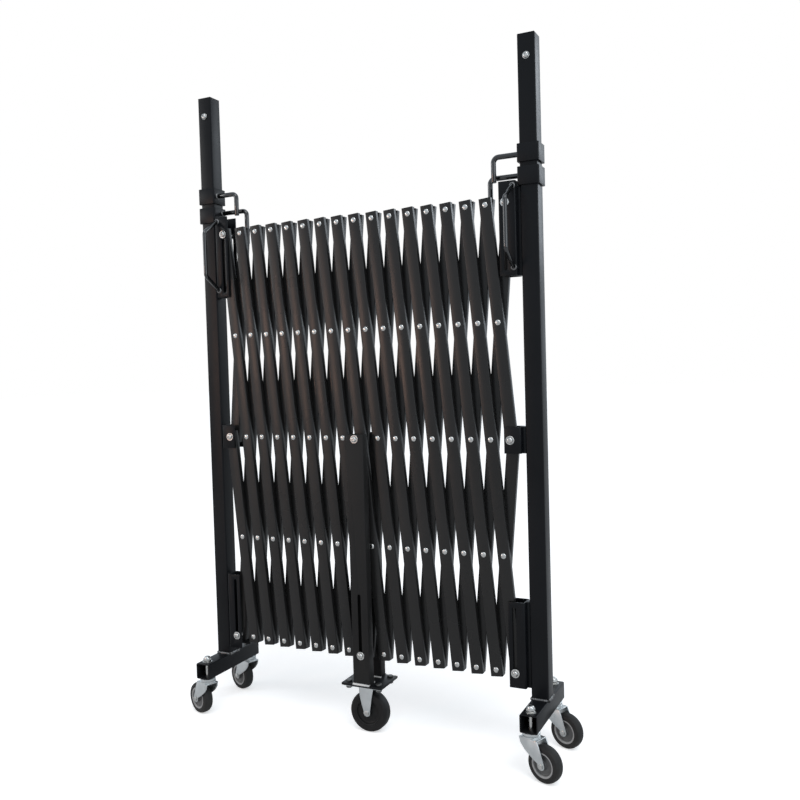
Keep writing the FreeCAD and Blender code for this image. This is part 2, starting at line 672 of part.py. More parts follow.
def check_shapes():
    """Stop if any object failed, or any sub-part has no valid solid."""
    failed = [obj.Label for obj in doc.Objects if "Invalid" in obj.State or "Error" in obj.State]
    for obj in nodes:
        shape = obj.Shape
        if shape.isNull() or not shape.isValid() or not shape.Solids:
            failed.append(obj.Label)
    if failed:
        raise RuntimeError("failed: " + ", ".join(failed))


make_sheet()
for slat_number in range(PITCHES + 1):
    slat("front", slat_number)
    slat("rear", slat_number)
for side_name, side_sign in SIDES.items():
    post_x = post(side_name, side_sign)
    foot_beam(side_name, side_sign, post_x)
    end_brackets(side_name, side_sign)
    pull_handle(side_name, side_sign)
    link_hooks(side_name, side_sign)
    for end_name, end_way in ENDS.items():
        end_caster(side_name, side_sign, end_name, end_way, post_x)
middle_leg()
middle_caster()
doc.recompute()
check_shapes()
os.makedirs("parts", exist_ok=True)
for sub_part in nodes:
    sub_part.Shape.exportStep(f"parts/{sub_part.Label}.step")
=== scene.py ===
"""Looks of an expandable lattice barrier on casters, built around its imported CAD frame."""

import json
import logging
import math
from dataclasses import dataclass
from enum import Enum
from typing import Iterable, Optional, Sequence, Union

import bmesh
import bpy
from mathutils import Matrix, Vector

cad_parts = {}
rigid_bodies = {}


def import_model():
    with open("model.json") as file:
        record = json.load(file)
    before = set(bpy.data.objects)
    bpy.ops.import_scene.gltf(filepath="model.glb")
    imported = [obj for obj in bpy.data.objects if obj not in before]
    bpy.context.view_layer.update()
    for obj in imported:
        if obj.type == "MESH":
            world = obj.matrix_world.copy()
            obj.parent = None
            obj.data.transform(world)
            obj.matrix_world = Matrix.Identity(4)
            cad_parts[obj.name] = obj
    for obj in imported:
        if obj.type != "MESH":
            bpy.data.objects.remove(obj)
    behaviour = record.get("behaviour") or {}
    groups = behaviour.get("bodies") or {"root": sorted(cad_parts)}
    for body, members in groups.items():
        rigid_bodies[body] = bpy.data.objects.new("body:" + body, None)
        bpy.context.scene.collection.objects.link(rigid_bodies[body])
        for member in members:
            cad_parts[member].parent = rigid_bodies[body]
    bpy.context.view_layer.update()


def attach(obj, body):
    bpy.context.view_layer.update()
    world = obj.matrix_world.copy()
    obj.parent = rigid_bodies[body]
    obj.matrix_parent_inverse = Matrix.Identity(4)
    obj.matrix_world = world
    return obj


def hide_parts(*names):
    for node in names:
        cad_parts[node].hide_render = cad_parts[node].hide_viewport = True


Mesh = bmesh.types.BMesh
Edge = bmesh.types.BMEdge
Vert = bmesh.types.BMVert
Node = bpy.types.Node
Span = tuple[float, float]
Corner = tuple[float, float, float]
Colour = tuple[float, float, float]
Profile = Sequence[Span]

LOG = logging.getLogger("barrier")

# Sizes of the CAD's lattice, in metres like all sizes here
PIVOT_PITCH = 0.2645
FOLD_ANGLE = math.radians(5.2)
COLUMN_PITCH = 2 * PIVOT_PITCH * math.sin(FOLD_ANGLE)
PITCHES = 16
ROWS = 5
MIDDLE_ROW = 2
MIDDLE_ROW_HEIGHT = 0.726
LATTICE_Y = -0.010
LAYER_GAP = 0.0006
SLAT_THICKNESS = 0.014
FRONT_FACE = LATTICE_Y - LAYER_GAP / 2 - SLAT_THICKNESS
BACK_FACE = LATTICE_Y + LAYER_GAP / 2 + SLAT_THICKNESS

# Places of the ends, and the slots that bolts slide in
END_BOLT_X = PITCHES / 2 * COLUMN_PITCH
POST_FROM_BOLT = 0.053
POST_X = END_BOLT_X + POST_FROM_BOLT
SLIDE_TRAVEL = 0.146
SLOT_PLAY = 0.0025
SLOT_HALF = 0.00435

# Small edge radii, how deep welded ends sink in, how far cutting tools pass a face, and fineness of meshes
EDGE = 0.0006
FINE_EDGE = 0.0005
WELD_SINK = 0.001
CUT_PAST = 0.01
HEXAGON = 6
ROUND_SIDES = 20
MERGE_DISTANCE = 1e-6
FLAT_ANGLE = math.radians(0.5)
WELD_SMOOTH = 60.0
ALONG_Y, ALONG_Z = 1, 2
TO_FRONT = Matrix.Rotation(math.radians(90), 4, "X")
TO_BACK = Matrix.Rotation(math.radians(-90), 4, "X")


class Named(Enum):
    """Options whose names stand in the CAD's names."""

    @property
    def word(self) -> str:
        """The option's name as it stands in the CAD."""
        return self.name.lower()


class Side(Named):
    """The two ends of the barrier, with the sign of X at each."""

    LEFT = -1
    RIGHT = 1


class Layer(Named):
    """The two layers of slats, with the way each leans."""

    FRONT = 1
    REAR = -1


class Slot(Enum):
    """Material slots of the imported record."""

    COAT = "black_coat"
    BRIGHT = "bright_zinc"
    FORK = "fork_zinc"
    RUBBER = "wheel_rubber"


def row_height(row: int) -> float:
    """Height of a pivot row, counted from the top."""
    return MIDDLE_ROW_HEIGHT + (MIDDLE_ROW - row) * PIVOT_PITCH * math.cos(FOLD_ANGLE)


def shift(x: float, y: float, z: float) -> Matrix:
    """The placement of a point, without a turn."""
    return Matrix.Translation((x, y, z))


def preset(node: Node, values: dict[str, Union[float, Sequence[float]]]) -> Node:
    """Set some inputs of a shader node and hand it back."""
    for label, value in values.items():
        node.inputs[label].default_value = value
    return node


def wire(source: Node, output: str, target: Node, socket: Union[str, int]) -> None:
    """Link an output of a shader node to an input of another one."""
    source.id_data.links.new(source.outputs[output], target.inputs[socket])


def math_node(nodes: bpy.types.Nodes, operation: str) -> Node:
    """A shader node that does one sum."""
    node = nodes.new("ShaderNodeMath")
    node.operation = operation
    return node


def colour_mix(nodes: bpy.types.Nodes, first: Colour, second: Colour) -> Node:
    """A shader node that mixes two colours."""
    mix = nodes.new("ShaderNodeMix")
    mix.data_type = "RGBA"
    return preset(mix, {"A": (*first, 1.0), "B": (*second, 1.0)})


def settled(name: str, bm: Mesh) -> bpy.types.Mesh:
    """Write a bmesh to a new mesh and free it."""
    mesh = bpy.data.meshes.new(name)
    bm.to_mesh(mesh)
    bm.free()
    return mesh


def stood(name: str, data: bpy.types.ID) -> bpy.types.Object:
    """Make an object of a mesh, light or camera and link it to the scene."""
    item = bpy.data.objects.new(name, data)
    bpy.context.scene.collection.objects.link(item)
    return item


def new_group(name: str, inputs: dict[str, float], outputs: Sequence[str]) -> bpy.types.ShaderNodeTree:
    """Start a shader node group with float inputs and outputs.

    Args:
        name: name of the group.
        inputs: input names and defaults.
        outputs: output names.

    Returns:
        The group, with a Group Input and a Group Output node.
    """
    group = bpy.data.node_groups.new(name, "ShaderNodeTree")
    for label, default in inputs.items():
        socket = group.interface.new_socket(label, in_out="INPUT", socket_type="NodeSocketFloat")
        socket.default_value = default
    for label in outputs:
        group.interface.new_socket(label, in_out="OUTPUT", socket_type="NodeSocketFloat")
    group.nodes.new("NodeGroupInput").name = "in"
    group.nodes.new("NodeGroupOutput").name = "out"
    return group


def mottle_group() -> bpy.types.ShaderNodeTree:
    """Slow and fine variation over a surface, both about 0.5.

    Returns:
        A group with inputs Slow Scale and Fine Scale, and outputs Slow and Fine.
    """
    found = bpy.data.node_groups.get("surface_mottle")
    if found:
        return found
    group = new_group("surface_mottle", {"Slow Scale": 6.0, "Fine Scale": 300.0}, ("Slow", "Fine"))
    nodes = group.nodes
    place = nodes.new("ShaderNodeTexCoord")
    for label, detail in (("Slow", 4.0), ("Fine", 2.0)):
        noise = preset(nodes.new("ShaderNodeTexNoise"), {"Detail": detail})
        wire(place, "Object", noise, "Vector")
        wire(nodes["in"], f"{label} Scale", noise, "Scale")
        wire(noise, "Fac", nodes["out"], label)
    return group


def dust_group() -> bpy.types.ShaderNodeTree:
    """Patchy dust that thins out with height above the floor.

    Returns:
        A group with the inputs Reach and Amount, and the output Dust.
    """
    found = bpy.data.node_groups.get("floor_dust")
    if found:
        return found
    group = new_group("floor_dust", {"Reach": 0.2, "Amount": 0.3}, ("Dust",))
    nodes = group.nodes
    place = nodes.new("ShaderNodeTexCoord")
    split = nodes.new("ShaderNodeSeparateXYZ")
    share = math_node(nodes, "DIVIDE")
    fade = preset(nodes.new("ShaderNodeMapRange"), {"To Min": 1.0, "To Max": 0.0})
    noise = preset(nodes.new("ShaderNodeTexNoise"), {"Scale": 45.0})
    patchy, amount = math_node(nodes, "MULTIPLY"), math_node(nodes, "MULTIPLY")
    wire(place, "Object", split, "Vector")
    wire(place, "Object", noise, "Vector")
    wire(split, "Z", share, 0)
    wire(nodes["in"], "Reach", share, 1)
    wire(share, "Value", fade, "Value")
    wire(fade, "Result", patchy, 0)
    wire(noise, "Fac", patchy, 1)
    wire(patchy, "Value", amount, 0)
    wire(nodes["in"], "Amount", amount, 1)
    wire(amount, "Value", nodes["out"], "Dust")
    return group


@dataclass(frozen=True)
class Finish:
    """A surface finish: colours, gloss and the scale of its variation.

    dark and light are the ends of its colour variation, rough its roughness range, grain the height of its
    fine bump in metres, and dust how much floor dust it carries.
    """

    DUST_COLOUR = (0.30, 0.28, 0.25)
    NOISE_RANGE = (0.3, 0.7)

    name: str
    slot: Slot
    dark: Colour
    light: Colour
    rough: Span
    metallic: float = 0.0
    specular: float = 0.5
    slow_scale: float = 5.0
    fine_scale: float = 420.0
    grain: float = 0.00002
    dust: float = 0.0

    def material(self) -> bpy.types.Material:
        """Build the finish's material once.

        Returns:
            The material.
        """
        found = bpy.data.materials.get(self.name)
        if found:
            return found
        material = bpy.data.materials.new(self.name)
        material.use_nodes = True
        nodes = material.node_tree.nodes
        shader = preset(nodes["Principled BSDF"],
                        {"Metallic": self.metallic, "Specular IOR Level": self.specular})
        mottle = nodes.new("ShaderNodeGroup")
        mottle.node_tree = mottle_group()
        preset(mottle, {"Slow Scale": self.slow_scale, "Fine Scale": self.fine_scale})
        tint = colour_mix(nodes, self.dark, self.light)
        wire(mottle, "Slow", tint, "Factor")
        dust = nodes.new("ShaderNodeGroup")
        dust.node_tree = dust_group()
        preset(dust, {"Amount": self.dust})
        dusty = colour_mix(nodes, self.dark, self.DUST_COLOUR)
        wire(tint, "Result", dusty, "A")
        wire(dust, "Dust", dusty, "Factor")
        wire(dusty, "Result", shader, "Base Color")
        limits = zip(("From Min", "From Max", "To Min", "To Max"), (*self.NOISE_RANGE, *self.rough))
        rough = preset(nodes.new("ShaderNodeMapRange"), dict(limits))
        wire(mottle, "Slow", rough, "Value")
        wire(rough, "Result", shader, "Roughness")
        bump = preset(nodes.new("ShaderNodeBump"), {"Distance": self.grain})
        wire(mottle, "Fine", bump, "Height")
        wire(bump, "Normal", shader, "Normal")
        return material


class Finishes:
    """The barrier's finishes."""

    # Black coat of the posts, beams, brackets, plate and sleeves: near-black paint whose bluish tint is
    # painted cool light.
    COAT = Finish("satin_black_coat", Slot.COAT, (0.0029, 0.0034, 0.0043), (0.0065, 0.0073, 0.0088),
                  (0.26, 0.40), specular=0.13, dust=0.03)
    # The same black coat on the slats, painted lighter and slightly warm: painted light and a painted warm
    # sheen on the slats.
    SLAT = Finish("satin_slat_coat", Slot.COAT, (0.0086, 0.0085, 0.0084), (0.0142, 0.0140, 0.0138),
                  (0.22, 0.36), specular=0.27, dust=0.03)
    # The same black coat on the leg, matt and painted lighter than the posts' coat: painted light on the leg.
    LEG = Finish("matt_leg_coat", Slot.COAT, (0.0142, 0.0141, 0.0141), (0.0228, 0.0226, 0.0226),
                 (0.36, 0.50), specular=0.08, dust=0.03)
    ROD = Finish("glossy_rod_coat", Slot.COAT, (0.0020, 0.0022, 0.0026), (0.0060, 0.0064, 0.0070),
                 (0.06, 0.14), specular=0.75, slow_scale=30.0)
    BRIGHT = Finish("bright_fastener_zinc", Slot.BRIGHT, (0.34, 0.34, 0.33), (0.60, 0.60, 0.585),
                    (0.16, 0.32), metallic=1.0, slow_scale=120.0, fine_scale=900.0, grain=0.00001)
    FORK = Finish("pressed_fork_zinc", Slot.FORK, (0.42, 0.44, 0.445), (0.66, 0.685, 0.69),
                  (0.26, 0.44), metallic=1.0, slow_scale=45.0, fine_scale=700.0, grain=0.00001, dust=0.10)
    DULL = Finish("dull_screw_zinc", Slot.BRIGHT, (0.06, 0.06, 0.06), (0.20, 0.20, 0.195),
                  (0.30, 0.48), metallic=1.0, slow_scale=120.0, fine_scale=900.0, grain=0.00001)
    SOLID = Finish("solid_wheel_rubber", Slot.RUBBER, (0.0040, 0.0042, 0.0045), (0.0095, 0.0097, 0.0100),
                   (0.45, 0.60), specular=0.18, slow_scale=40.0, fine_scale=800.0, grain=0.00003, dust=0.03)
    TYRE = Finish("black_tyre_rubber", Slot.RUBBER, (0.006, 0.006, 0.0062), (0.015, 0.015, 0.0155),
                  (0.50, 0.68), specular=0.22, slow_scale=40.0, fine_scale=800.0, grain=0.00003, dust=0.07)
    HUB = Finish("grey_hub_plastic", Slot.RUBBER, (0.055, 0.056, 0.057), (0.095, 0.096, 0.097),
                 (0.36, 0.50), slow_scale=30.0, fine_scale=600.0, dust=0.10)
    RIM = Finish("pale_rim_plastic", Slot.RUBBER, (0.26, 0.26, 0.26), (0.38, 0.38, 0.38),
                 (0.32, 0.46), slow_scale=40.0, fine_scale=600.0, dust=0.10)
    WELD = Finish("coated_weld", Slot.COAT, (0.03, 0.03, 0.031), (0.22, 0.22, 0.22),
                  (0.18, 0.34), metallic=0.6, slow_scale=90.0, fine_scale=500.0, grain=0.0001)
    # Bare metal weld bead at the leg's foot; its light colour is partly real metal and partly a painted
    # glint.
    BARE_WELD = Finish("bare_weld", Slot.BRIGHT, (0.42, 0.42, 0.41), (0.78, 0.78, 0.77),
                       (0.24, 0.40), metallic=0.5, slow_scale=90.0, fine_scale=500.0, grain=0.0001)


def bevel(bm: Mesh, edges: Sequence[Edge], radius: float, steps: int) -> None:
    """Round some edges of a mesh."""
    bmesh.ops.bevel(bm, geom=edges, offset=radius, offset_type="OFFSET", segments=steps, profile=0.5,
                    affect="EDGES", clamp_overlap=True, material=-1)


def edges_along(bm: Mesh, axis: int) -> list[Edge]:
    """The edges of a mesh that run along an axis."""
    runs = {edge: edge.verts[1].co - edge.verts[0].co for edge in bm.edges}
    return [edge for edge, run in runs.items() if run.length - abs(run[axis]) < MERGE_DISTANCE]


def round_edges(bm: Mesh, radius: float, steps: int = 2, angle: float = 35.0) -> None:
    """Round the edges of a mesh that are sharper than an angle in degrees."""
    sharp = [e for e in bm.edges if e.is_manifold and e.calc_face_angle(0.0) > math.radians(angle)]
    bevel(bm, sharp, radius, steps)


def block(low: Corner, high: Corner, radius: float = 0.0, steps: int = 3) -> Mesh:
    """A box.

    Args:
        low: one corner.
        high: the opposite corner.
        radius: edge radius, or 0 for sharp edges.
        steps: segments of each rounded edge.

    Returns:
        The box.
    """
    bm = bmesh.new()
    a, b = Vector(map(min, low, high)), Vector(map(max, low, high))
    bmesh.ops.create_cube(bm, size=1.0)
    bmesh.ops.scale(bm, vec=b - a, verts=bm.verts)
    bmesh.ops.translate(bm, vec=(a + b) / 2, verts=bm.verts)
    if radius:
        round_edges(bm, radius, steps)
    return bm


def bar(low: Corner, high: Corner, axis: int, corner: float, steps: int = 4) -> Mesh:
    """A box whose edges along one axis are rounded, as a drawn tube's are."""
    bm = block(low, high)
    bevel(bm, edges_along(bm, axis), corner, steps)
    return bm


def turned(profile: Profile, steps: int = 32) -> Mesh:
    """A solid turned about Z.

    Args:
        profile: (radius, height) points, from axis to axis or closed on itself.
        steps: segments of a full turn.

    Returns:
        The turned solid.
    """
    bm = bmesh.new()
    points = [bm.verts.new((r, 0.0, z)) for r, z in profile]
    chain = [bm.edges.new(pair) for pair in zip(points, points[1:])]
    bmesh.ops.spin(bm, geom=points + chain, cent=(0, 0, 0), axis=(0, 0, 1), angle=2 * math.pi,
                   steps=steps, use_merge=True)
    bmesh.ops.remove_doubles(bm, verts=bm.verts, dist=MERGE_DISTANCE)
    bmesh.ops.recalc_face_normals(bm, faces=bm.faces)
    return bm


def ring(half_profile: Profile, steps: int) -> Mesh:
    """A ring turned about Z from the upper half of its profile and that half's mirror image."""
    profile = [*half_profile, *((radius, -z) for radius, z in reversed(half_profile))]
    return turned([*profile, profile[0]], steps)


def weld_collar(foot: float, waist: float, top: float) -> Mesh:
    """A weld collar on the XY plane, with its radius at the foot, half way and at the top."""
    half_way, height = 0.0012, 0.0022
    return turned([(0, 0), (foot, 0), (waist, half_way), (top, height), (0, height)], ROUND_SIDES)


def prism(radius: float, height: float, sides: int, chamfer: float = 0.0) -> Mesh:
    """A regular prism that stands on the XY plane."""
    bm = bmesh.new()
    bmesh.ops.create_cone(bm, cap_ends=True, segments=sides, radius1=radius, radius2=radius, depth=height)
    bmesh.ops.translate(bm, vec=(0, 0, height / 2), verts=bm.verts)
    if chamfer:
        round_edges(bm, chamfer)
    return bm


def plate(outline: Sequence[Corner], depth: Corner, radius: float = 0.0) -> Mesh:
    """A flat plate from an outline, given thickness along a direction.

    Args:
        outline: corners of one face, in order.
        depth: the step from that face to the other.
        radius: edge radius.

    Returns:
        The plate.
    """
    bm = bmesh.new()
    face = bm.faces.new([bm.verts.new(point) for point in outline])
    made = bmesh.ops.extrude_face_region(bm, geom=[face], use_keep_orig=True)["geom"]
    bmesh.ops.translate(bm, vec=depth, verts=[g for g in made if isinstance(g, Vert)])
    bmesh.ops.recalc_face_normals(bm, faces=bm.faces)
    if radius:
        round_edges(bm, radius)
    return bm


def bent_rod(corners: Sequence[Corner], bend: float, radius: float) -> Mesh:
    """A round rod along straight runs, spun round each bend.

    Args:
        corners: the line's corners.
        bend: radius of each bend.
        radius: radius of the rod.

    Returns:
        The rod, closed at both ends.
    """
    sides, bend_steps = 16, 6
    line = [Vector(c) for c in corners]
    bm = bmesh.new()
    turn = (line[1] - line[0]).to_track_quat("Z", "X").to_matrix().to_4x4()
    bmesh.ops.create_circle(bm, segments=sides, radius=radius, cap_ends=True,
                            matrix=Matrix.Translation(line[0]) @ turn)
    at, ends = line[0], list(bm.edges)
    for index in range(1, len(line)):
        run = line[index]
        if index < len(line) - 1:
            into = (line[index] - line[index - 1]).normalized()
            out = (line[index + 1] - line[index]).normalized()
            angle = into.angle(out)
            run = line[index] - into * bend * math.tan(angle / 2)
        made = bmesh.ops.extrude_edge_only(bm, edges=ends)["geom"]
        bmesh.ops.translate(bm, vec=run - at, verts=[g for g in made if isinstance(g, Vert)])
        ends = [g for g in made if isinstance(g, Edge)]
        at = run
        if index < len(line) - 1:
            axis = into.cross(out).normalized()
            centre = run + axis.cross(into) * bend
            made = bmesh.ops.spin(bm, geom=ends, cent=centre, axis=axis, angle=angle,
                                  steps=bend_steps)["geom_last"]
            ends = [g for g in made if isinstance(g, Edge)]
            at = line[index] + out * bend * math.tan(angle / 2)
    bmesh.ops.contextual_create(bm, geom=ends)
    bmesh.ops.remove_doubles(bm, verts=bm.verts, dist=MERGE_DISTANCE)
    bmesh.ops.recalc_face_normals(bm, faces=bm.faces)
    return bm


def weld_bead(start: Corner, end: Corner, radius: float, waves: int) -> Mesh:
    """A weld bead between two points, with a number of ripples."""
    sides, ripple = 10, 0.22
    a, b = Vector(start), Vector(end)
    length = (b - a).length
    bm = bmesh.new()
    bmesh.ops.create_cone(bm, cap_ends=True, segments=sides, radius1=radius, radius2=radius, depth=length)
    bmesh.ops.subdivide_edges(bm, edges=edges_along(bm, ALONG_Z), cuts=waves * 2, use_grid_fill=True)
    for vert in bm.verts:
        swell = 1.0 + ripple * math.cos((vert.co.z / length + 0.5) * waves * 2 * math.pi)
        vert.co.x *= swell
        vert.co.y *= swell
    turn = (b - a).to_track_quat("Z", "X").to_matrix().to_4x4()
    return placed(bm, Matrix.Translation((a + b) / 2) @ turn)


def placed(bm: Mesh, matrix: Matrix) -> Mesh:
    """Move a mesh by a matrix and hand it back."""
    bmesh.ops.transform(bm, matrix=matrix, verts=bm.verts)
    return bm


def joined(parts: Iterable[Mesh]) -> Mesh:
    """Put several meshes into one and free them."""
    whole = bmesh.new()
    for part in parts:
        mesh = settled("part", part)
        whole.from_mesh(mesh)
        bpy.data.meshes.remove(mesh)
    return whole


def carved(base: Mesh, tools: Sequence[Mesh]) -> Mesh:
    """Cut tools out of a base.

    Args:
        base: the mesh that is cut.
        tools: the meshes taken out of it, one after the other.

    Returns:
        The cut mesh.
    """
    made = [stood("blank", settled("blank", bm)) for bm in (base, *tools)]
    for tool in made[1:]:
        cut = made[0].modifiers.new("cut", "BOOLEAN")
        cut.operation = "DIFFERENCE"
        cut.solver = "EXACT"
        cut.object = tool
    bpy.context.view_layer.update()
    view = made[0].evaluated_get(bpy.context.evaluated_depsgraph_get())
    result = bmesh.new()
    result.from_mesh(view.to_mesh())
    view.to_mesh_clear()
    for blank in made:
        mesh = blank.data
        bpy.data.objects.remove(blank)
        bpy.data.meshes.remove(mesh)
    bmesh.ops.dissolve_limit(result, angle_limit=FLAT_ANGLE, verts=result.verts, edges=result.edges)
    return result


def slot_tool(x: float, heights: Span, walls: Span) -> Mesh:
    """A tool for the round-ended slot of a sliding bolt, upright and through two walls.

    Args:
        x: its X.
        heights: heights of the bolt at the slot's two ends.
        walls: Y of the walls' outer faces.

    Returns:
        The tool.
    """
    steps = 12
    near, far = walls[0] - CUT_PAST, walls[1] + CUT_PAST
    outline = []
    for height, start in ((heights[1], 0.0), (heights[0], math.pi)):
        for step in range(steps + 1):
            angle = start + math.pi * step / steps
            outline.append((x + SLOT_HALF * math.cos(angle), near, height + SLOT_HALF * math.sin(angle)))
    return plate(outline, (0, far - near, 0))


def publish(name: str, bm: Mesh, finish: Finish, body: str, stands_for: Optional[str] = None,
            smooth: float = 32.0) -> None:
    """Make an object from a mesh, dress it and fix it to its CAD body.

    Args:
        name: piece name.
        bm: its mesh, in the CAD's frame.
        finish: its finish.
        body: the CAD body it rides on.
        stands_for: the CAD node it replaces, if any.
        smooth: edges flatter than this angle in degrees are shaded smooth.
    """
    mesh = settled(name, bm)
    mesh.materials.append(finish.material())
    mesh.shade_smooth()
    mesh.set_sharp_from_angle(angle=math.radians(smooth))
    piece = stood(name, mesh)
    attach(piece, body)
    if stands_for:
        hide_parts(stands_for)
    LOG.info("piece %s: %d faces", name, len(mesh.polygons))


@dataclass(frozen=True)
class Bolt:
    """A button-head bolt with a washer, a nut and spacers, through two walls along Y."""

    radius: float = 0.004
    washer: float = 0.010
    washer_thickness: float = 0.0016
    washer_edge: float = 0.0003
    head: float = 0.0068
    head_height: float = 0.0046
    nut: float = 0.0075
    nut_height: float = 0.0065
    thread_end: float = 0.0015
    spacer: float = 0.0075

    def _washer(self) -> Mesh:
        """A chamfered washer on the XY plane."""
        r, t, edge = self.washer, self.washer_thickness, self.washer_edge
        return turned([(0, 0), (r - edge, 0), (r, edge), (r, t - edge), (r - edge, t), (0, t)])

    def _head(self) -> Mesh:
        """A domed head with a socket, on the XY plane."""
        r, h = self.head, self.head_height
        dome = [(r, 0.0), (r, 0.25 * h), (0.94 * r, 0.55 * h), (0.78 * r, 0.82 * h), (0.52 * r, h)]
        return turned([(0, 0), *dome, (0.42 * r, h), (0.38 * r, 0.55 * h), (0, 0.5 * h)])

    def outside(self, face: Matrix) -> list[Mesh]:
        """The washer and the head on a face, which Z of its placement points out of."""
        lift = shift(0, 0, self.washer_thickness)
        return [placed(self._washer(), face), placed(self._head(), face @ lift)]

    def build(self, x: float, z: float, walls: Span, layers: Span, inside: Span) -> Mesh:
        """Build the bolt.

        Args:
            x: its X.
            z: its Z.
            walls: outer faces of the walls it clamps, front and back.
            layers: front and back faces of the slats between the walls.
            inside: inner faces of the walls.

        Returns:
            The bolt with its washer, nut and spacers.
        """
        back = shift(x, walls[1], z) @ TO_BACK
        thread = self.nut_height + self.thread_end
        parts = [
            *self.outside(shift(x, walls[0], z) @ TO_FRONT),
            placed(prism(self.nut, self.nut_height, HEXAGON, EDGE), back),
            placed(prism(self.radius, thread, ROUND_SIDES, EDGE), back),
        ]
        for near, far in ((inside[0], layers[0]), (layers[1], inside[1])):
            tube = prism(self.spacer, far - near, ROUND_SIDES)
            parts.append(placed(tube, shift(x, near, z) @ TO_BACK))
        return joined(parts)


@dataclass
class Lattice:
    """The scissor lattice of slats, rivets and sliding bolts."""

    DOME = ((0, 0), (1, 0), (1, 0.2), (0.9, 0.52), (0.62, 0.85), (0.3, 1), (0, 1))

    width: float = 0.028
    overhang: float = 0.015
    corner: float = 0.0016
    end_rim: float = 0.0012
    end_recess: float = 0.0012
    rivet: Span = (0.0062, 0.0022)
    tail: Span = (0.0052, 0.0016)
    bolt: Bolt = Bolt()

    @staticmethod
    def pivots(layer: Layer, number: int) -> dict[int, float]:
        """The pivot rows of a slat and the lattice column of each."""
        first = number - layer.value
        columns = {row: first + layer.value * row / 2 for row in range(ROWS)}
        return {row: column for row, column in columns.items() if 0 <= column <= PITCHES}

    @staticmethod
    def bolted(column: float, row: int) -> bool:
        """Whether a bolt, not a rivet, stands at this pivot."""
        ends = column in (0, PITCHES) and row in (0, MIDDLE_ROW, ROWS - 1)
        return ends or (column == PITCHES / 2 and row in (MIDDLE_ROW, ROWS - 1))

    @staticmethod
    def frame(layer: Layer, number: int) -> Matrix:
        """Placement of a slat's own axes, with its origin at the middle row."""
        x = (number - PITCHES / 2) * COLUMN_PITCH
        y = LATTICE_Y - layer.value * LAYER_GAP / 2
        return shift(x, y, MIDDLE_ROW_HEIGHT) @ Matrix.Rotation(-layer.value * FOLD_ANGLE, 4, "Y")

    def slat(self, layer: Layer, rows: dict[int, float]) -> Mesh:
        """The flat tube of a slat, with plugged ends set in from its rims."""
        low = (MIDDLE_ROW - max(rows)) * PIVOT_PITCH - self.overhang
        high = (MIDDLE_ROW - min(rows)) * PIVOT_PITCH + self.overhang
        bm = bar((-self.width / 2, 0, low), (self.width / 2, -layer.value * SLAT_THICKNESS, high),
                 ALONG_Z, self.corner, steps=3)
        ends = [f for f in bm.faces if abs(f.normal.z) > 0.9]
        bmesh.ops.inset_individual(bm, faces=ends, thickness=self.end_rim, depth=-self.end_recess)
        return bm

    def rivets(self, rows: dict[int, float]) -> Optional[Mesh]:
        """The domed rivet heads of a front slat and their tails behind the rear slats."""
        parts = []
        for row, column in rows.items():
            if self.bolted(column, row):
                continue
            z = (MIDDLE_ROW - row) * PIVOT_PITCH
            for (radius, height), face, turn in ((self.rivet, -SLAT_THICKNESS, TO_FRONT),
                                                 (self.tail, SLAT_THICKNESS + LAYER_GAP, TO_BACK)):
                dome = turned([(r * radius, h * height) for r, h in self.DOME], ROUND_SIDES)
                parts.append(placed(dome, shift(0, face, z) @ turn))
        return joined(parts) if parts else None

    def slide_bolt(self, layer: Layer, rows: dict[int, float]) -> Optional[Mesh]:
        """The bolt that a slat carries in the slots of a bracket or of the leg, if it has one."""
        faces = (FRONT_FACE, LATTICE_Y) if layer is Layer.FRONT else (LATTICE_Y, BACK_FACE)
        for row, column in rows.items():
            x, z = (column - PITCHES / 2) * COLUMN_PITCH, row_height(row)
            if column in (0, PITCHES) and row in (0, ROWS - 1):
                return self.bolt.build(x, z, EndFrame.WALLS, faces, EndFrame.INSIDE)
            if column == PITCHES / 2 and row == ROWS - 1 and layer is Layer.FRONT:
                return self.bolt.build(x, z, MiddleLeg.WALLS, (FRONT_FACE, BACK_FACE), MiddleLeg.INSIDE)
        return None

    def build(self) -> None:
        """Build every slat with its rivets and bolt."""
        for layer in Layer:
            for number in range(PITCHES + 1):
                rows = self.pivots(layer, number)
                node = f"{layer.word}_slat_{number:02d}"
                body = f"{layer.word}_{number:02d}"
                place = self.frame(layer, number)
                tube = placed(self.slat(layer, rows), place)
                publish(f"{node}_tube", tube, Finishes.SLAT, body, node)
                heads = self.rivets(rows) if layer is Layer.FRONT else None
                if heads:
                    publish(f"{node}_rivets", placed(heads, place), Finishes.BRIGHT, body)
                bolt = self.slide_bolt(layer, rows)
                if bolt:
                    publish(f"{node}_bolt", bolt, Finishes.BRIGHT, body)


